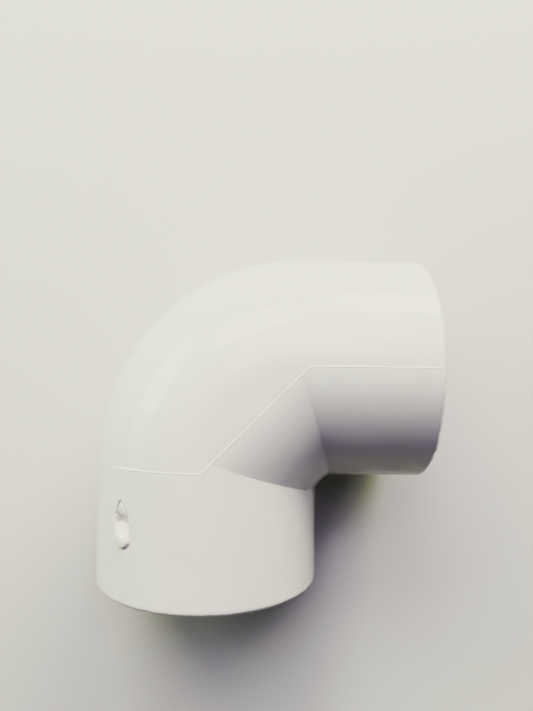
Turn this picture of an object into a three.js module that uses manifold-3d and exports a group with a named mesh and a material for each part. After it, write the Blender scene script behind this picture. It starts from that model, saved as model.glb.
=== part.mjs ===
// A 90 degree PVC pipe elbow with a plain slip socket at each end, for 2 in (DN 50) pipe.
//
// The real elbow is one injection moulding. It is held here as the four regions of that moulding,
// each a closed solid: the two sockets, the outer half of the bend and the throat between them.
//
// Everything is first built about the point where the two socket axes cross. The lower socket
// opens towards -Y and the side socket towards +X, so the elbow lies flat with both axes level.
// The group then moves that point so that the origin is at the bottom centre of the elbow's box.

import * as THREE from 'three';
import { mergeVertices } from 'three/addons/utils/BufferGeometryUtils.js';
import Module from 'manifold-3d';

// Driving dimensions, in millimetres.
const OUTER_RADIUS = 34.925;
const CENTRE_TO_MOUTH = 67;
const CENTRE_TO_STOP = 31.75;
const BEND_RADIUS = 30;
const WATERWAY_RADIUS = 27.5;
const SOCKET_MOUTH_RADIUS = 30.3;
const SOCKET_BOTTOM_RADIUS = 30.1;
const OUTER_CHAMFER = 0.8;
const LEAD_IN = 1.2;
const LEAD_IN_LENGTH = 1.6;

// The throat is a straight 45 degree length, as high as the sockets and slightly slimmer. Its axis
// crosses each socket axis at this distance from the point where the socket axes cross.
const THROAT_CROSSING = 26;
const THROAT_HALF_WIDTH = 33.6;

// The gate mark is a shallow teardrop along the lower socket, left where the moulding was fed.
const GATE_ANGLE = THREE.MathUtils.degToRad(-39);
const GATE_TIP = -38.2;
const GATE_LENGTH = 13.7;
const GATE_HALF_WIDTH = 2.75;
const GATE_DEPTH = 0.6;
const GATE_WIDEST = 0.7;

// Neighbouring regions meet face to face on planes square to a socket and keep this gap on slanted ones.
const GAP = 0.3;

// Facets round a full circle and along the quarter bend.
const SIDES = 72;
const BEND_STEPS = 18;

// How far past the object the cutting solids run.
const BEYOND = 5;

// Points of one geometry that are closer than this are one point.
const WELD = 1e-3;

const wasm = await Module();
wasm.setup();

const pvc = {
  color: new THREE.Color(0xe4e4dc),
  roughness: 0.35,
  metalness: 0,
};

// A closed geometry as a solid that can be joined and cut.
function toSolid(geometry) {
  const bare = geometry.clone();
  bare.deleteAttribute('normal');
  bare.deleteAttribute('uv');
  const merged = mergeVertices(bare, WELD);
  const mesh = new wasm.Mesh({
    numProp: 3,
    vertProperties: new Float32Array(merged.attributes.position.array),
    triVerts: new Uint32Array(merged.index.array),
  });
  return new wasm.Manifold(mesh);
}

// A finished solid as a named mesh.
function toMesh(name, solid) {
  const { vertProperties, triVerts } = solid.getMesh();
  const geometry = new THREE.BufferGeometry();
  geometry.setAttribute('position', new THREE.BufferAttribute(vertProperties, 3));
  geometry.setIndex(new THREE.BufferAttribute(triVerts, 1));
  geometry.computeVertexNormals();
  const mesh = new THREE.Mesh(geometry, new THREE.MeshStandardMaterial(pvc));
  mesh.name = name;
  return mesh;
}

// A profile of [radius, height] turned about the Y axis. Its flat facets touch the true circle
// from outside, and one of them is level at the bottom, so that the elbow rests without rocking.
function turn(profile) {
  const grow = 1 / Math.cos(Math.PI / SIDES);
  const points = profile.map(([radius, height]) => new THREE.Vector2(radius * grow, height));
  return new THREE.LatheGeometry(points, SIDES).rotateY(Math.PI / SIDES);
}

// One socket, opening towards -Y, with its tapered bore, pipe stop and start of the waterway.
function socketGeometry() {
  return turn([
    [WATERWAY_RADIUS, -BEND_RADIUS],
    [WATERWAY_RADIUS, -CENTRE_TO_STOP],
    [SOCKET_BOTTOM_RADIUS, -CENTRE_TO_STOP],
    [SOCKET_MOUTH_RADIUS, -CENTRE_TO_MOUTH + LEAD_IN_LENGTH],
    [SOCKET_MOUTH_RADIUS + LEAD_IN, -CENTRE_TO_MOUTH],
    [OUTER_RADIUS - OUTER_CHAMFER, -CENTRE_TO_MOUTH],
    [OUTER_RADIUS, -CENTRE_TO_MOUTH + OUTER_CHAMFER],
    [OUTER_RADIUS, -BEND_RADIUS],
    [WATERWAY_RADIUS, -BEND_RADIUS],
  ]);
}

// The space inside one socket, opening towards -Y, from past its mouth up to its pipe stop.
function socketSpaceGeometry() {
  return turn([
    [0, -CENTRE_TO_MOUTH - BEYOND],
    [SOCKET_MOUTH_RADIUS + LEAD_IN, -CENTRE_TO_MOUTH - BEYOND],
    [SOCKET_MOUTH_RADIUS + LEAD_IN, -CENTRE_TO_MOUTH],
    [SOCKET_MOUTH_RADIUS, -CENTRE_TO_MOUTH + LEAD_IN_LENGTH],
    [SOCKET_BOTTOM_RADIUS, -CENTRE_TO_STOP],
    [0, -CENTRE_TO_STOP],
  ]);
}

// The straight start of the waterway, opening towards -Y, from inside the socket to the bend.
function waterwayStartGeometry() {
  return turn([
    [0, -CENTRE_TO_STOP - BEYOND],
    [WATERWAY_RADIUS, -CENTRE_TO_STOP - BEYOND],
    [WATERWAY_RADIUS, -BEND_RADIUS + GAP],
    [0, -BEND_RADIUS + GAP],
  ]);
}

// A round bar of the given radius turned about the upright axis at the centre of the bend.
// Where the bar is fatter than the bend radius, its section stops at that axis.
function ringGeometry(radius) {
  const step = (2 * Math.PI) / SIDES;
  const corner = radius / Math.cos(step / 2);
  const section = [];
  for (let side = 0; side < SIDES; side += 1) {
    const angle = (side + 0.5) * step - Math.PI;
    section.push([BEND_RADIUS + corner * Math.cos(angle), corner * Math.sin(angle)]);
  }
  const outside = section.filter(([distance]) => distance > 0);
  if (outside.length < section.length) {
    const height = Math.sqrt(radius ** 2 - BEND_RADIUS ** 2);
    outside.unshift([0, -height]);
    outside.push([0, height]);
  } else {
    outside.push(section[0]);
  }
  const points = outside.map(([distance, height]) => new THREE.Vector2(distance, height));
  const ring = new THREE.LatheGeometry(points, 4 * BEND_STEPS);
  return ring.rotateX(Math.PI / 2).translate(BEND_RADIUS, -BEND_RADIUS, 0);
}

// The quarter turn that the bend fills, out to the object's outside.
function quarterGeometry() {
  const side = BEND_RADIUS + OUTER_RADIUS + BEYOND;
  const quarter = new THREE.BoxGeometry(side, side, side * 2);
  return quarter.translate(BEND_RADIUS - side / 2, -BEND_RADIUS + side / 2, 0);
}

// The upright three-sided wedge that the throat fills: behind it the bend, and on each side a mitre
// plane where the 45 degree throat meets a socket. The inset draws all three faces inwards. Each
// plane holds the curve in which the throat's oval outside crosses the socket's round one.
function throatWedgeGeometry(inset) {
  const mitreSlope = (THROAT_HALF_WIDTH * Math.SQRT2) / OUTER_RADIUS - 1;
  const mitreAngle = Math.atan(mitreSlope);
  const baseAngle = Math.PI / 4 + mitreAngle;
  const tipAngle = Math.PI - 2 * baseAngle;
  const bisector = (Math.PI / 4 - mitreAngle) / 2;
  const baseReach = inset / Math.sin(baseAngle / 2);
  const tipReach = inset / Math.sin(tipAngle / 2);
  const baseX = baseReach * Math.cos(bisector);
  const baseY = -THROAT_CROSSING + baseReach * Math.sin(bisector);
  const tip = THROAT_CROSSING / (1 - mitreSlope) - tipReach * Math.SQRT1_2;
  const outline = new THREE.Shape();
  outline.moveTo(baseX, baseY);
  outline.lineTo(tip, -tip);
  outline.lineTo(-baseY, -baseX);
  outline.closePath();
  const depth = 2 * (OUTER_RADIUS + BEYOND);
  const wedge = new THREE.ExtrudeGeometry(outline, { depth, bevelEnabled: false });
  return wedge.translate(0, 0, -depth / 2);
}

// The 45 degree length of oval bar that gives the throat its outside.
function throatBarGeometry() {
  const bar = turn([
    [0, -CENTRE_TO_MOUTH],
    [OUTER_RADIUS, -CENTRE_TO_MOUTH],
    [OUTER_RADIUS, CENTRE_TO_MOUTH],
    [0, CENTRE_TO_MOUTH],
  ]);
  bar.scale(THROAT_HALF_WIDTH / OUTER_RADIUS, 1, 1);
  return bar.rotateZ(-Math.PI / 4).translate(THROAT_CROSSING / 2, -THROAT_CROSSING / 2, 0);
}

// A flattened teardrop lying along the outside of the lower socket, pointed towards the bend.
function gateMarkGeometry() {
  const widest = GATE_WIDEST * GATE_LENGTH;
  const points = [new THREE.Vector2(0, -GATE_LENGTH)];
  const arcSteps = 6;
  for (let step = 1; step <= arcSteps; step += 1) {
    const angle = (step / arcSteps) * (Math.PI / 2);
    const height = -widest - (GATE_LENGTH - widest) * Math.cos(angle);
    points.push(new THREE.Vector2(GATE_HALF_WIDTH * Math.sin(angle), height));
  }
  points.push(new THREE.Vector2(0, 0));
  const drop = new THREE.LatheGeometry(points, 24);
  drop.scale(1, 1, GATE_DEPTH / GATE_HALF_WIDTH);
  return drop.translate(0, GATE_TIP, OUTER_RADIUS).rotateY(GATE_ANGLE);
}

const toSide = (geometry) => geometry.rotateZ(Math.PI / 2);

const quarter = toSolid(quarterGeometry());
const wedge = toSolid(throatWedgeGeometry(0));
const insetWedge = toSolid(throatWedgeGeometry(GAP));
const waterway = toSolid(ringGeometry(WATERWAY_RADIUS))
  .intersect(quarter)
  .add(toSolid(waterwayStartGeometry()))
  .add(toSolid(toSide(waterwayStartGeometry())));
const inside = waterway
  .add(toSolid(socketSpaceGeometry()))
  .add(toSolid(toSide(socketSpaceGeometry())));

const lowerSocket = toSolid(socketGeometry())
  .subtract(wedge)
  .subtract(toSolid(gateMarkGeometry()));
const sideSocket = toSolid(toSide(socketGeometry())).subtract(wedge);
const outerBend = toSolid(ringGeometry(OUTER_RADIUS))
  .intersect(quarter)
  .subtract(wedge)
  .subtract(toSolid(ringGeometry(WATERWAY_RADIUS)));
const throat = toSolid(throatBarGeometry())
  .intersect(insetWedge)
  .subtract(inside);

const elbow = new THREE.Group();
elbow.add(toMesh('lower_socket', lowerSocket));
elbow.add(toMesh('side_socket', sideSocket));
elbow.add(toMesh('outer_bend', outerBend));
elbow.add(toMesh('inner_throat', throat));

const halfOffset = (CENTRE_TO_MOUTH - OUTER_RADIUS) / 2;
elbow.position.set(-halfOffset, halfOffset, OUTER_RADIUS);

export default elbow;
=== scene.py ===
"""White PVC elbow lying flat on a pale table, seen from straight above.

The elbow is one moulding, so one seamless skin stands for the four CAD regions of it. The skin is
a grid of rows and columns wrapped round the elbow: the columns go round the pipe section and the
rows go along the outside, round the side mouth, back through the inside and round the lower mouth.
"""

import math

import bpy
import numpy as np
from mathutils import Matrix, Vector


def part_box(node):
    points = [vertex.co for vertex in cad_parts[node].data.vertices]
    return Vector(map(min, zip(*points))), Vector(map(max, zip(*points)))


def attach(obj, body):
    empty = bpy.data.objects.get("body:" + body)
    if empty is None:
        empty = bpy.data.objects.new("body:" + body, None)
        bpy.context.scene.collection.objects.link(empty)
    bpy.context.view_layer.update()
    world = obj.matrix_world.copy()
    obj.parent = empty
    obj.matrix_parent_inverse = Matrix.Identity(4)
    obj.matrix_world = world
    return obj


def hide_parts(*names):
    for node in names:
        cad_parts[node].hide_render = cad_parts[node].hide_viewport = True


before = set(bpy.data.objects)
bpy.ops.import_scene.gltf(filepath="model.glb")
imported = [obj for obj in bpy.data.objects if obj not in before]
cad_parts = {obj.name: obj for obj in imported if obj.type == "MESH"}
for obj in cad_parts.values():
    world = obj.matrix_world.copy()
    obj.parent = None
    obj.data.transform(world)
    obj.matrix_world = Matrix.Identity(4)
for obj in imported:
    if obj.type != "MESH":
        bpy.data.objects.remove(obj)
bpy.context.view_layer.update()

BODY = "root"
MM = 0.001

# ---------------------------------------------------------------- sizes, in millimetres
# Lengths are measured from the point where the two socket axes cross.

lower_low, lower_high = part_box("lower_socket")
side_low, side_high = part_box("side_socket")
CENTRE = Vector((
    (lower_low.x + lower_high.x) / 2,
    (side_low.y + side_high.y) / 2,
    (lower_low.z + lower_high.z) / 2,
))
R = (lower_high.x - lower_low.x) / 2 / MM       # outside radius
MOUTH = (CENTRE.y - lower_low.y) / MM           # centre to mouth
BEND = (CENTRE.y - lower_high.y) / MM           # radius of the bend's centre line
STOP = 31.75                                    # centre to pipe stop
BORE = 27.5                                     # waterway radius
SOCKET_BOTTOM = 30.1                            # radius of the tapered socket at its stop
SOCKET_MOUTH = 30.3                             # and at its mouth
THROAT = 26.0                                   # where the throat axis crosses each socket axis
THROAT_HALF = 33.6                              # half the width of its oval section
THROAT_T = THROAT / math.sqrt(2)
MITRE = THROAT_HALF * math.sqrt(2) / R - 1      # slope of the planes of its creases

THROAT_SAG = 0.3                                # how far the throat is hollowed along its length
CREASE_SOFTNESS = 0.4                           # size of the fillet in its creases
CREASE_MARGIN = 3.0                             # how far the throat runs on inside the sockets
LEAD_IN = 1.2                                   # width of the chamfer inside each mouth
LEAD_IN_LENGTH = 1.6
MOUTH_BEVEL = 0.9                               # of the outer edge of each mouth
BEVEL_SOFTNESS = 0.12
EDGE_RAGGED = 0.11                              # unevenness of that edge
LOWER_SLANT = 0.85                              # how far each mouth is cut out of square
SIDE_SLANT = 0.8
# Burrs and nicks on the side mouth: angle in degrees from its crown, height, spread in degrees.
SIDE_BURRS = ((43, 0.4, 1.4), (47.5, -0.35, 1.2), (4.0, 0.12, 1.5), (12.0, 0.15, 2.5))

PARTING = 29.5                                  # centre to the mould's parting line
FLASH_WIDTH = 0.5
FLASH_HEIGHT = 0.045
FLASH_BLOT = 0.45                               # extra width where it passes the gate
FLASH_BLOT_SPREAD = math.radians(4.5)

GATE_ANGLE = math.radians(-39.9)                # from the lower socket's crown
GATE_TIP = -38.5
GATE_LENGTH = 13.4
GATE_END = 53.0                                 # centre to just beyond the mark
GATE_HALF_WIDTH = 3.0
GATE_WIDEST = 0.73                              # share of the length at which it is widest
GATE_LEAN = 1.7                                 # sideways drift over its length
GATE_NUB = 1.0                                  # height of the blunt end
GATE_HOLLOW = 1.8                               # depth of the sunk part before it
GATE_GROOVE = 0.7                               # depth of the cut round its pointed end
GATE_GROOVE_WIDTH = 0.25
GATE_PIT_DEPTH = 0.45
# Small pits in the mark: share of its length, place across, radius.
GATE_PITS = ((0.31, -2.7, 0.5), (0.23, 0.1, 0.4), (0.04, 0.0, 0.7))

# Long low ridges that the flowing plastic left beside the gate: place across, height, width.
FLOW_MARKS = ((-2.1, -0.12, 0.45), (0.9, 0.14, 1.3), (3.1, -0.12, 0.4), (-5.0, 0.06, 0.7))

# ---------------------------------------------------------------- colours, in linear light

PVC_TINT = (0.54, 0.535, 0.505)
# The flash is the body's own plastic, tinted brighter and yellower here: a painted highlight along the
# ridge.
FLASH_HIGHLIGHT_TINT = (0.74, 0.74, 0.64)
DIRT = (0.30, 0.27, 0.22)
TABLE_TINT = (0.48, 0.477, 0.445)
BACKDROP_TINT = (0.38, 0.38, 0.36)


# ---------------------------------------------------------------- the outside as a distance field

def unit(v):
    return v / np.linalg.norm(v, axis=-1, keepdims=True)


def smooth(value, low, high):
    t = np.clip((value - low) / (high - low), 0.0, 1.0)
    return t * t * (3 - 2 * t)


def tube_distance(p):
    """Distance outside the swept round tube of both sockets and the bend, and its outward normal."""
    x, y, z = p[..., 0], p[..., 1], p[..., 2]
    in_lower = y < -BEND
    in_side = (x > BEND) & ~in_lower
    from_x, from_y = x - BEND, y + BEND
    reach = np.maximum(np.hypot(from_x, from_y), 1e-6)
    along = np.where(in_lower, x, np.where(in_side, y, BEND - reach))
    nx = np.where(in_lower, 1.0, np.where(in_side, 0.0, -from_x / reach))
    ny = np.where(in_lower, 0.0, np.where(in_side, 1.0, -from_y / reach))
    size = np.maximum(np.hypot(along, z), 1e-6)
    normal = np.stack((nx * along / size, ny * along / size, z / size), -1)
    return size - R, normal


def throat_distance(p):
    """The same for the 45 degree throat, which counts only between its two mitre planes.

    Behind its crown it runs on level until it meets the crown of the bend. Half way between the
    creases its flank is slightly hollow.
    """
    x, y, z = p[..., 0], p[..., 1], p[..., 2]
    oval = R / THROAT_HALF
    across = np.maximum((x - y) / math.sqrt(2) - THROAT_T, 0.0) * oval
    size = np.maximum(np.hypot(across, z), 1e-6)
    lean, level = across / size, z / size
    steepness = np.hypot(lean * oval, level)
    half = math.sqrt(0.5)
    normal = np.stack((half * lean * oval, -half * lean * oval, level), -1)
    normal = normal / steepness[..., None]
    crease = THROAT_T - (1 - MITRE) * R * lean * half
    from_middle = np.clip((x + y) * half / crease, -1.0, 1.0)
    sag = THROAT_SAG * smooth(lean, 0.15, 0.75) * (1 - from_middle ** 2)
    mitre = math.atan(MITRE)
    past_lower = -(x * math.sin(mitre) + (y + THROAT) * math.cos(mitre)) - CREASE_MARGIN
    past_side = -((THROAT - x) * math.cos(mitre) - y * math.sin(mitre)) - CREASE_MARGIN
    past_bend = np.hypot(x - BEND, y + BEND) - BEND
    clip = np.maximum(np.maximum(past_lower, past_side), past_bend)
    return np.maximum((size - R) / steepness + sag, clip), normal


def outside_distance(p):
    """The tube and the throat joined, with a small fillet in the creases between them."""
    tube, tube_normal = tube_distance(p)
    throat, throat_normal = throat_distance(p)
    turn = np.linalg.norm(tube_normal - throat_normal, axis=-1)
    soft = np.maximum(CREASE_SOFTNESS * turn, 1e-6)
    near = np.maximum(soft - np.abs(tube - throat), 0.0) / soft
    return np.minimum(tube, throat) - near * near * soft / 4


def reach_outside(start, direction):
    """Where rays from inside leave the elbow."""
    nearest, furthest, halvings = R * 0.6, R * 1.7, 30
    low = np.full(start.shape[:-1], nearest)
    high = np.full(start.shape[:-1], furthest)
    for _ in range(halvings):
        middle = (low + high) / 2
        inside = outside_distance(start + direction * middle[..., None]) < 0
        low = np.where(inside, middle, low)
        high = np.where(inside, high, middle)
    return start + direction * low[..., None]


def outside_normal(p):
    step = 0.02
    axes = np.eye(3) * step
    slope = [outside_distance(p + a) - outside_distance(p - a) for a in axes]
    return unit(np.stack(slope, -1))


# ---------------------------------------------------------------- columns and rows of the skin

def column_angles():
    """Angles round the section, closer together at the gate mark and the crown, which is at 0."""
    wide, middling, fine = math.radians(1.5), math.radians(1.0), math.radians(0.4)
    near_gate, near_crown = math.radians(7.5), math.radians(55)
    angles = []
    angle = -math.pi
    while angle < math.pi - fine:
        angles.append(angle)
        if abs(angle - GATE_ANGLE) < near_gate:
            angle += fine
        else:
            angle += middling if abs(angle) < near_crown else wide
    return np.array(angles)


COLUMNS = column_angles()
SIN, COS = np.sin(COLUMNS), np.cos(COLUMNS)
BEND_LIMIT, THROAT_LIMIT = -0.5, 0.17
THROAT_SHARE = smooth(SIN, BEND_LIMIT, THROAT_LIMIT)    # 0 on the bend's columns, 1 on the throat's

# Distances between the rows along a leg, in general and across the gate mark.
COARSE_STEP, FINE_STEP = 1.4, 0.24
# Distances from a crease, so that the rows crowd together across its fillet.
CREASE_STEPS = np.array([0.0, 0.18, 0.36, 0.56, 0.8, 1.1, 1.5, 2.1])


def leg_point(radius, distance):
    """A ring on the lower leg: its radius, and its distance from the centre at each column."""
    distance = np.broadcast_to(distance, SIN.shape)
    return np.stack((radius * SIN, -distance, radius * COS), -1)


def to_side(points):
    """The lower leg's points moved to the same places on the side leg."""
    return np.stack((-points[..., 1], -points[..., 0], points[..., 2]), -1)


def leg_end():
    """Distance at which each column leaves the leg, at the bend or at the throat's crease."""
    crease = THROAT + MITRE * R * SIN
    return BEND + (crease - BEND) * THROAT_SHARE


def outer_leg_rows(levels):
    """Rings up the outside of the lower leg, from its mouth to the bend or crease."""
    end = leg_end()
    direction = unit(leg_point(1, 0))
    rows = []
    for level in levels:
        squeezed = GATE_END - (GATE_END - level) * (GATE_END - end) / (GATE_END - BEND)
        distance = squeezed if level < GATE_END else np.full_like(SIN, level)
        rows.append(reach_outside(leg_point(0, distance), direction))
    return rows


def evenly(start, end, step):
    """Even places from start down to end, about a step apart."""
    return list(np.linspace(start, end, int((start - end) / step) + 1))


def leg_levels(gate_step):
    """Distances of a leg's rings, from the mouth's bevel past the gate mark's place to the bend."""
    bevel = MOUTH - MOUTH_BEVEL - BEVEL_SOFTNESS
    gate_start = 37.0
    crease = BEND + CREASE_STEPS[-1]
    levels = evenly(bevel - 0.05, GATE_END, COARSE_STEP)
    levels += evenly(GATE_END, gate_start, gate_step)[1:]
    levels += evenly(gate_start, crease, 1.0)[1:]
    levels += list(BEND + CREASE_STEPS[-2::-1])
    return levels


def bend_rows():
    """Rings round the bend. Their outer half follows the sweep, their inner half the throat."""
    steps = 66
    up = np.array((0.0, 0.0, 1.0))
    bar_in = np.array((math.sqrt(0.5), -math.sqrt(0.5), 0.0))
    mix = THROAT_SHARE[:, None]
    half_length = THROAT_T - (1 - MITRE) * R / math.sqrt(2) * np.maximum(SIN, BEND_LIMIT)
    swept = BEND * math.pi / 4 * (1 - SIN)
    half = swept + (half_length - swept) * THROAT_SHARE
    end = CREASE_STEPS[-1]
    offsets = [np.full_like(SIN, step) for step in CREASE_STEPS[1:]]
    for step in np.linspace(0, 1, steps)[1:-1]:
        offsets.append(end + (2 * half - 2 * end) * step)
    offsets += [2 * half - step for step in CREASE_STEPS[:0:-1]]
    rows = []
    for offset in offsets:
        share = offset / (2 * half)
        turn = share * math.pi / 2
        sweep = np.stack((BEND - BEND * np.cos(turn), -BEND + BEND * np.sin(turn), 0 * turn), -1)
        sweep_in = np.stack((np.cos(turn), -np.sin(turn), 0 * turn), -1)
        along = (2 * share - 1) * half_length * math.sqrt(0.5)
        bar = np.stack((THROAT / 2 + along, -THROAT / 2 + along, 0 * turn), -1)
        start = sweep + (bar - sweep) * mix
        inward = unit(sweep_in + (bar_in - sweep_in) * mix)
        direction = inward * SIN[:, None] + up * COS[:, None]
        rows.append(reach_outside(start, direction))
    return rows


def arc(radius_centre, distance_centre, size, start, end, steps):
    """Radius and distance of the points round a small rounded edge."""
    angles = np.linspace(start, end, steps)
    return [(radius_centre + size * math.cos(a), distance_centre + size * math.sin(a)) for a in angles]


def mouth_profile():
    """From the outside, over the bevelled mouth, down the socket to the start of the waterway."""
    soft = BEVEL_SOFTNESS
    profile = [(R, MOUTH - MOUTH_BEVEL - soft), (R - 0.3 * soft, MOUTH - MOUTH_BEVEL)]
    for share in (0.15, 0.4, 0.65, 0.9):
        profile.append((R - share * MOUTH_BEVEL, MOUTH - (1 - share) * MOUTH_BEVEL))
    profile.append((R - MOUTH_BEVEL, MOUTH - 0.02))

    face_inner = SOCKET_MOUTH + LEAD_IN
    profile += [(r, MOUTH) for r in np.linspace(R - MOUTH_BEVEL - soft, face_inner + 0.15, 6)]
    profile += [(face_inner, MOUTH - 0.05), (face_inner - 0.1, MOUTH - 0.2)]
    profile.append((SOCKET_MOUTH + 0.12, MOUTH - LEAD_IN_LENGTH + 0.15))

    stop_round = 0.35
    shallow, deep = MOUTH - LEAD_IN_LENGTH - 0.1, STOP + stop_round
    for share in np.linspace(0, 1, 8):
        radius = SOCKET_MOUTH + share * (SOCKET_BOTTOM - SOCKET_MOUTH)
        profile.append((radius, shallow + share * (deep - shallow)))
    profile += arc(SOCKET_BOTTOM - stop_round, deep, stop_round, 0, -math.pi / 2, 5)[1:]
    profile += [(r, STOP) for r in np.linspace(SOCKET_BOTTOM - stop_round, BORE + 0.3, 4)[1:]]
    profile += [(BORE + 0.09, STOP - 0.09), (BORE, STOP - 0.3)]
    return profile


def mouth_rows(profile, ragged, slant):
    """Rings of the mouth's profile, with its outer edge made uneven and its face cut at a slant."""
    slanted_from, edge_from, edge_full, wall_from = MOUTH - 5, MOUTH - 1.2, MOUTH - 0.5, R - 1.6
    rows = []
    for radius, distance in profile:
        at_edge = smooth(distance, edge_from, edge_full) * smooth(radius, wall_from, R - MOUTH_BEVEL)
        at_face = smooth(distance, slanted_from, edge_from)
        rows.append(leg_point(radius, distance + ragged * at_edge + slant * at_face))
    return rows


def waterway_rows():
    """Rings through the bend's waterway, from the side socket's stop to the lower one's."""
    steps = 36
    rows = []
    for turn in np.linspace(math.pi / 2, 0, steps):
        reach = BEND - BORE * SIN
        x = BEND - reach * math.cos(turn)
        y = -BEND + reach * math.sin(turn)
        rows.append(np.stack((x, y, BORE * COS), -1))
    return rows


# ---------------------------------------------------------------- marks left by the mould

def gate_height(points):
    """Height of the gate mark: a sunk pointed end cut round its edge, then a blunt raised nub.

    along runs from 0 at its pointed tip to 1 at its blunt end. share is 0 on its middle line and 1
    on its outline.
    """
    angle = np.arctan2(points[..., 0], points[..., 2])
    along = (GATE_TIP - points[..., 1]) / GATE_LENGTH
    across = (angle - GATE_ANGLE) * R - GATE_LEAN * (along - 0.5)
    slanted = along - 0.03 * across
    near_end = np.clip((along - GATE_WIDEST) / (1 - GATE_WIDEST), 0, None)
    outline = GATE_HALF_WIDTH * (1 - (1 - np.clip(along / GATE_WIDEST, 0, 1)) ** 3) ** 0.9
    share = np.hypot(across / np.maximum(outline, 0.05), near_end)
    inside = (along > 0) * np.clip((1 - share) * outline, 0, None)

    # The sunk part is shallow at its tip and deepest at the step up to the nub.
    shallow, step_from, step_to = 0.12, 0.54, 0.61
    hollow = -shallow * smooth(along, 0.0, 0.06) - GATE_HOLLOW * smooth(along, 0.2, step_from)
    hollow = hollow * (1 - smooth(slanted, step_from, step_to)) * smooth(inside, 0.0, 0.35)
    blunt = 1 - np.clip(share, 0, 1) ** 9
    nub = GATE_NUB * smooth(slanted, 0.55, 0.8) * (1 - 0.06 * across) * blunt

    # The cut runs just inside the outline, round the tip and faintly round the blunt end.
    from_edge = (share - 0.95) * outline / GATE_GROOVE_WIDTH
    cut = smooth(along, 0.0, 0.05) * (1 - smooth(along, 0.3, 0.48)) + 0.3 * smooth(along, 0.82, 0.92)
    groove = -GATE_GROOVE * cut * np.exp(-from_edge ** 2) * (1 + 0.5 * (across > 0))
    pits = 0.0
    for pit_along, pit_across, size in GATE_PITS:
        apart = np.hypot((along - pit_along) * GATE_LENGTH, across - pit_across)
        pits = pits - GATE_PIT_DEPTH * (1 - smooth(apart, 0.0, size))
    return hollow + nub + groove + pits


def flow_height(points):
    """Height of the flow marks, which run from the parting line and fade away before the mouth."""
    angle = np.arctan2(points[..., 0], points[..., 2])
    across = (angle - GATE_ANGLE) * R
    marks = 0.0
    for place, height, width in FLOW_MARKS:
        marks = marks + height * np.exp(-((across - place) / width) ** 2)
    distance = -points[..., 1]
    half_faded = 60
    begin = smooth(distance, PARTING - 0.4, PARTING + 0.6)
    fade = 1 - 0.5 * smooth(distance, 45, half_faded)
    return marks * begin * fade * (1 - smooth(distance, half_faded, MOUTH - 2))


def stamp_marks(points):
    """The lower leg's points, raised and sunk by the marks on it."""
    radial = np.stack((points[..., 0], 0 * points[..., 1], points[..., 2]), -1)
    height = gate_height(points) + flow_height(points)
    return points + unit(radial) * height[..., None]


def ragged_mouth(seed, burrs=()):
    """How far the mouth's outer edge stands out or in at each column, left by trimming."""
    rng = np.random.default_rng(seed)
    bare = rng.normal(0, 1, len(COLUMNS) + 2)
    ragged = EDGE_RAGGED * (0.5 * bare[:-2] + bare[1:-1] + 0.5 * bare[2:]) / 2
    for angle, height, spread in burrs:
        ragged = ragged + height * np.exp(-((np.degrees(COLUMNS) - angle) / spread) ** 2)
    return ragged


# ---------------------------------------------------------------- meshes

def add_mesh(name, points, faces):
    mesh = bpy.data.meshes.new(name)
    placed = np.asarray(points, float) * MM + np.array(CENTRE)
    mesh.from_pydata([tuple(p) for p in placed], [], faces)
    mesh.validate()
    mesh.shade_smooth()
    obj = bpy.data.objects.new(name, mesh)
    bpy.context.scene.collection.objects.link(obj)
    return obj


def wrap(rows, columns):
    """Quads of a grid that closes on itself both ways, facing out."""
    faces = []
    for i in range(rows):
        k = (i + 1) % rows
        for j in range(columns):
            m = (j + 1) % columns
            faces.append((i * columns + j, i * columns + m, k * columns + m, k * columns + j))
    return faces


def build_skin():
    profile = mouth_profile()
    side_mouth = mouth_rows(profile, ragged_mouth(3, SIDE_BURRS), SIDE_SLANT * smooth(SIN, 0.2, 1.0))
    lower_mouth = mouth_rows(profile, ragged_mouth(4), LOWER_SLANT * (1 + COS) / 2)
    rows = [stamp_marks(ring) for ring in outer_leg_rows(leg_levels(FINE_STEP))]
    rows += bend_rows()
    rows += [to_side(ring) for ring in outer_leg_rows(leg_levels(COARSE_STEP))[::-1]]
    rows += [to_side(ring) for ring in side_mouth]
    rows += waterway_rows()
    rows += lower_mouth[::-1]
    grid = np.array(rows)
    return add_mesh("elbow_body", grid.reshape(-1, 3), wrap(len(rows), len(COLUMNS)))


def parting_path():
    """Points of the parting line: in along the side socket's crown, round the lower one and back out.

    The line lies on the crown from the side mouth to the start of the lower socket. It goes down
    round the outside of that socket to its lowest line and comes back under the side socket.
    """
    leg_step, bend_steps, round_steps = 0.5, 84, 220
    up = np.array((0.0, 0.0, 1.0))
    crown = [(x, 0.0, 0.0) for x in np.arange(MOUTH - MOUTH_BEVEL - 0.1, PARTING, -leg_step)]
    for share in np.linspace(0, 1, bend_steps):
        crown.append((PARTING * (1 - share), -PARTING * share, 0.0))
    turns = np.linspace(0, -math.pi, round_steps)[1:-1]
    starts = crown + [(0.0, -PARTING, 0.0)] * len(turns) + crown[::-1]
    directions = [up] * len(crown)
    directions += [np.array((math.sin(turn), 0.0, math.cos(turn))) for turn in turns]
    directions += [-up] * len(crown)
    return reach_outside(np.array(starts), unit(np.array(directions, float)))


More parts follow.
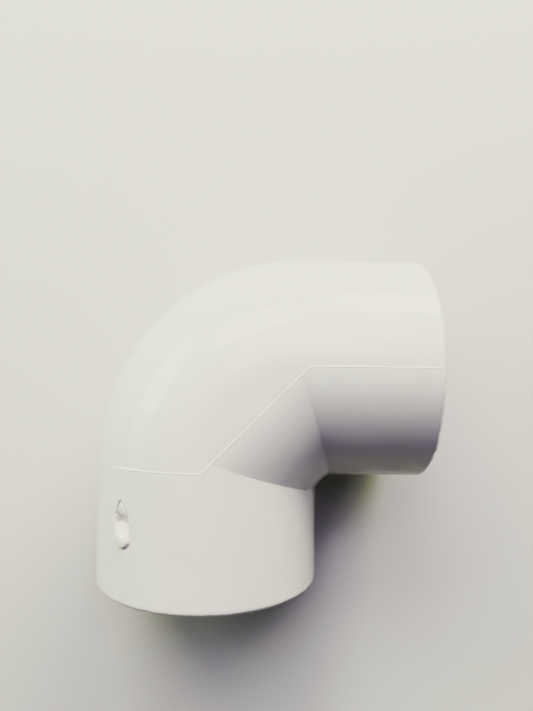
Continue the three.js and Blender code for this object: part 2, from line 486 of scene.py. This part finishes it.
def build_flash():
    """The thin raised line that the mould left, as a low ridge sunk into the skin."""
    path = parting_path()
    along = unit(np.gradient(path, axis=0))
    normal = outside_normal(path)
    across = unit(np.cross(along, normal))
    rng = np.random.default_rng(7)
    span = 9
    wander = np.convolve(rng.normal(0, 1, len(path) + span - 1), np.ones(span) / span, "valid")
    height = FLASH_HEIGHT * (1 + 0.5 * wander)
    width = FLASH_WIDTH * (1 + 0.35 * np.roll(wander, 5))

    # The line is widest where it passes the gate, and faint beyond it, on the top half.
    round_leg = np.arctan2(path[:, 0], path[:, 2])
    on_leg = np.abs(path[:, 1] + PARTING) < FLASH_WIDTH
    by_gate = np.exp(-((round_leg - GATE_ANGLE) / FLASH_BLOT_SPREAD) ** 2) * on_leg
    past_gate = 1 - smooth(round_leg, GATE_ANGLE - math.radians(9), GATE_ANGLE - math.radians(3))
    faint = on_leg * (path[:, 2] > 0) * past_gate
    width = (width + FLASH_BLOT * by_gate) * (1 - 0.5 * faint)
    height = height * (1 - 0.6 * faint)

    # The ridge's section: shares of its width and height, with its foot buried in the wall.
    buried = -2.5
    section = [(-0.5, buried), (-0.5, 0.0), (-0.28, 0.75), (0.0, 1.0)]
    section += [(-side, lift) for side, lift in section[-2::-1]]
    rows = []
    for side, lift in section:
        rows.append(path + across * (width * side)[:, None] + normal * (height * lift)[:, None])
    grid = np.stack(rows, 1)
    grid[..., 2] = np.maximum(grid[..., 2], -R)
    count, ring = grid.shape[:2]
    faces = wrap(count, ring)[:-ring]
    faces.append(tuple(range(ring)))
    faces.append(tuple((count - 1) * ring + j for j in reversed(range(ring))))
    return add_mesh("parting_line_flash", grid.reshape(-1, 3), faces)


# ---------------------------------------------------------------- materials

def new_material(name):
    material = bpy.data.materials.new(name)
    material.use_nodes = True
    tree = material.node_tree
    return material, tree, tree.nodes["Principled BSDF"]


def node(tree, kind, **inputs):
    made = tree.nodes.new(kind)
    for name, value in inputs.items():
        made.inputs[name.replace("_", " ")].default_value = value
    return made


def ramp(tree, source, stops):
    """A colour ramp over source: stops are (position, colour)."""
    made = tree.nodes.new("ShaderNodeValToRGB")
    points = made.color_ramp.elements
    while len(points) < len(stops):
        points.new(0.5)
    for point, (position, colour) in zip(points, stops):
        point.position = position
        point.color = (*colour, 1.0)
    tree.links.new(source, made.inputs["Fac"])
    return made


def speckled_colour(tree, place, tint):
    """A cloudy tint with rare dirt specks: noise for the clouds, a few Voronoi cells for the dirt."""
    link = tree.links.new
    cloud = node(tree, "ShaderNodeTexNoise", Scale=45.0, Detail=4.0, Roughness=0.6)
    link(place, cloud.inputs["Vector"])
    warm = tuple(c * f for c, f in zip(tint, (0.985, 0.98, 0.955)))
    colour = ramp(tree, cloud.outputs["Fac"], [(0.35, warm), (0.62, tint)])

    specks = node(tree, "ShaderNodeTexVoronoi", Scale=230.0)
    link(place, specks.inputs["Vector"])
    spot = ramp(tree, specks.outputs["Distance"], [(0.035, (1, 1, 1)), (0.06, (0, 0, 0))])
    cell = tree.nodes.new("ShaderNodeSeparateColor")
    link(specks.outputs["Color"], cell.inputs["Color"])
    clean_share = 0.9
    chosen = tree.nodes.new("ShaderNodeMath")
    chosen.operation = "GREATER_THAN"
    chosen.inputs[1].default_value = clean_share
    link(cell.outputs["Red"], chosen.inputs[0])
    speck = tree.nodes.new("ShaderNodeMath")
    speck.operation = "MULTIPLY"
    link(spot.outputs["Color"], speck.inputs[0])
    link(chosen.outputs["Value"], speck.inputs[1])

    dirty = tree.nodes.new("ShaderNodeMix")
    dirty.data_type = "RGBA"
    dirty.inputs["B"].default_value = (*DIRT, 1)
    link(speck.outputs["Value"], dirty.inputs["Factor"])
    link(colour.outputs["Color"], dirty.inputs["A"])
    return dirty.outputs["Result"]


def wavy_normal(tree, place):
    """A faint broad wave with a finer peel on top of it."""
    link = tree.links.new
    peel = node(tree, "ShaderNodeTexNoise", Scale=420.0, Detail=2.0, Roughness=0.5)
    link(place, peel.inputs["Vector"])
    waves = node(tree, "ShaderNodeTexNoise", Scale=70.0, Detail=1.0, Roughness=0.4)
    link(place, waves.inputs["Vector"])
    low = node(tree, "ShaderNodeBump", Strength=0.25, Distance=0.0004)
    link(waves.outputs["Fac"], low.inputs["Height"])
    fine = node(tree, "ShaderNodeBump", Strength=0.18, Distance=0.00008)
    link(peel.outputs["Fac"], fine.inputs["Height"])
    link(low.outputs["Normal"], fine.inputs["Normal"])
    return fine.outputs["Normal"]


def pvc_material(name, tint):
    """Glossy white plastic: cloudy tint, rare dirt specks, uneven gloss and a faintly wavy surface."""
    material, tree, shader = new_material(name)
    link = tree.links.new
    place = tree.nodes.new("ShaderNodeTexCoord").outputs["Object"]
    shader.inputs["IOR"].default_value = 1.53
    shader.inputs["Specular IOR Level"].default_value = 0.4
    shader.inputs["Subsurface Weight"].default_value = 0.04
    shader.inputs["Subsurface Radius"].default_value = (1.0, 0.9, 0.7)
    shader.inputs["Subsurface Scale"].default_value = 0.002
    link(speckled_colour(tree, place, tint), shader.inputs["Base Color"])

    gloss = node(tree, "ShaderNodeTexNoise", Scale=120.0, Detail=5.0, Roughness=0.65)
    link(place, gloss.inputs["Vector"])
    rough = ramp(tree, gloss.outputs["Fac"], [(0.3, (0.1,) * 3), (0.7, (0.16,) * 3)])
    link(rough.outputs["Color"], shader.inputs["Roughness"])
    link(wavy_normal(tree, place), shader.inputs["Normal"])
    return material


def plain_material(name, colour, glow=0.0):
    """Matt and even, for the floor and the backdrop only."""
    material, _, shader = new_material(name)
    shader.inputs["Base Color"].default_value = (*colour, 1)
    shader.inputs["Roughness"].default_value = 0.6
    shader.inputs["Emission Color"].default_value = (*colour, 1)
    shader.inputs["Emission Strength"].default_value = glow
    return material


# ---------------------------------------------------------------- light, floor and camera

def add_area(name, azimuth, elevation, reach, size, power, colour):
    """A soft rectangular light aimed at the elbow, reach and size in metres. Azimuth 90 is +Y."""
    data = bpy.data.lights.new(name, "AREA")
    data.shape = "RECTANGLE"
    data.size, data.size_y = size
    data.energy = power
    data.color = colour
    around, up = math.radians(azimuth), math.radians(elevation)
    towards = Vector((math.cos(up) * math.cos(around), math.cos(up) * math.sin(around), math.sin(up)))
    light = bpy.data.objects.new(name, data)
    light.location = towards * reach + Vector((0, 0, 0.03))
    light.rotation_euler = towards.to_track_quat("Z", "Y").to_euler()
    bpy.context.scene.collection.objects.link(light)


def light_room():
    world = bpy.data.worlds.new("room")
    world.use_nodes = True
    background = world.node_tree.nodes["Background"]
    background.inputs["Color"].default_value = (0.95, 0.96, 1.0, 1)
    background.inputs["Strength"].default_value = 0.01
    bpy.context.scene.world = world
    small, large = (0.6, 0.4), (1.5, 1.5)
    add_area("window_low", 65, 20, 1.1, small, 18.7, (0.97, 1.0, 0.72))
    add_area("window_high", 110, 35, 1.1, small, 10.4, (0.98, 1.0, 0.62))
    add_area("sky", 90, 45, 2.5, large, 30.3, (0.92, 0.87, 1.0))
    add_area("overhead", 90, 65, 1.1, small, 3.6, (0.75, 0.55, 1.0))
    add_area("left_wall", 150, 20, 1.1, small, 7.2, (0.91, 0.97, 0.72))
    add_area("left_low", 175, 15, 1.1, small, 1.4, (0.6, 1.0, 0.8))


def add_stage(name, points, faces, material):
    mesh = bpy.data.meshes.new(name)
    mesh.from_pydata(points, [], faces)
    obj = bpy.data.objects.new(name, mesh)
    bpy.context.scene.collection.objects.link(obj)
    mesh.materials.append(material)
    return mesh


def add_table():
    """A round pale floor with a backdrop that curves up from its edge, sizes in metres."""
    radius, curve, height, sides = 3.2, 0.8, 3.2, 96
    turns = np.linspace(0, 2 * math.pi, sides, endpoint=False)
    edge = radius - curve
    floor = [(edge * math.cos(t), edge * math.sin(t), 0.0) for t in turns]
    add_stage("table", floor, [tuple(range(sides))], plain_material("pale_table", TABLE_TINT))
    profile = []
    for rise in np.linspace(0, math.pi / 2, 13):
        profile.append((edge + curve * math.sin(rise), curve - curve * math.cos(rise)))
    profile.append((radius, height))
    points = [(r * math.cos(t), r * math.sin(t), level) for r, level in profile for t in turns]
    faces = []
    for i in range(len(profile) - 1):
        for j in range(sides):
            m = (j + 1) % sides
            faces.append((i * sides + j, (i + 1) * sides + j, (i + 1) * sides + m, i * sides + m))
    paper = plain_material("pale_backdrop", BACKDROP_TINT, glow=0.1)
    add_stage("backdrop", points, faces, paper).shade_smooth()


def add_camera():
    """Straight above the elbow, placed in millimetres from where the socket axes cross."""
    data = bpy.data.cameras.new("camera")
    data.sensor_width = 36
    data.lens = 29.02
    camera = bpy.data.objects.new("camera", data)
    camera.location = CENTRE + Vector((12.76, -1.40, 189.97)) * MM
    camera.rotation_euler = (0.0259, -0.0301, 0.0142)
    bpy.context.scene.collection.objects.link(camera)
    bpy.context.scene.camera = camera


def shoulder(curve, linear_end, limit):
    """Leave a tone curve straight up to linear_end, then bend it over towards limit."""
    room = limit - linear_end
    curve.points[1].location = (linear_end, linear_end)
    for rise in (0.15, 0.3, 0.5, 0.75, 1.25, 2.25):
        squeezed = linear_end + room * (1 - math.exp(-rise / room))
        curve.points.new(linear_end + rise, squeezed)


def set_tone():
    """A contrasty picture, with deeper shadows and its brightest tones squeezed together.

    The curves act on linear light, before the view transform.
    """
    view = bpy.context.scene.view_settings
    view.view_transform = "AgX"
    view.look = "AgX - Very High Contrast"
    view.use_curve_mapping = True
    mapping = view.curve_mapping
    brightest = 4.0
    mapping.clip_max_x = brightest
    mapping.clip_max_y = brightest
    blue, combined = mapping.curves[2], mapping.curves[3]
    shoulder(combined, 0.75, 1.25)
    lower_tones = (
        (0.03, 0.04), (0.075, 0.077), (0.14, 0.121),
        (0.2, 0.188), (0.26, 0.253), (0.35, 0.35),
    )
    for light, shown in lower_tones:
        combined.points.new(light, shown)
    shoulder(blue, 0.6, 0.88)
    mapping.update()


# ---------------------------------------------------------------- the scene

add_camera()
light_room()
add_table()

pvc = pvc_material("white_pvc", PVC_TINT)
skin = build_skin()
skin.data.materials.append(pvc)
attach(skin, BODY)
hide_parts("lower_socket", "side_socket", "outer_bend", "inner_throat")

flash = build_flash()
# Its brighter, yellower tint is a painted highlight on the same plastic as the body.
flash.data.materials.append(pvc_material("white_pvc_painted_highlight", FLASH_HIGHLIGHT_TINT))
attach(flash, BODY)

set_tone()
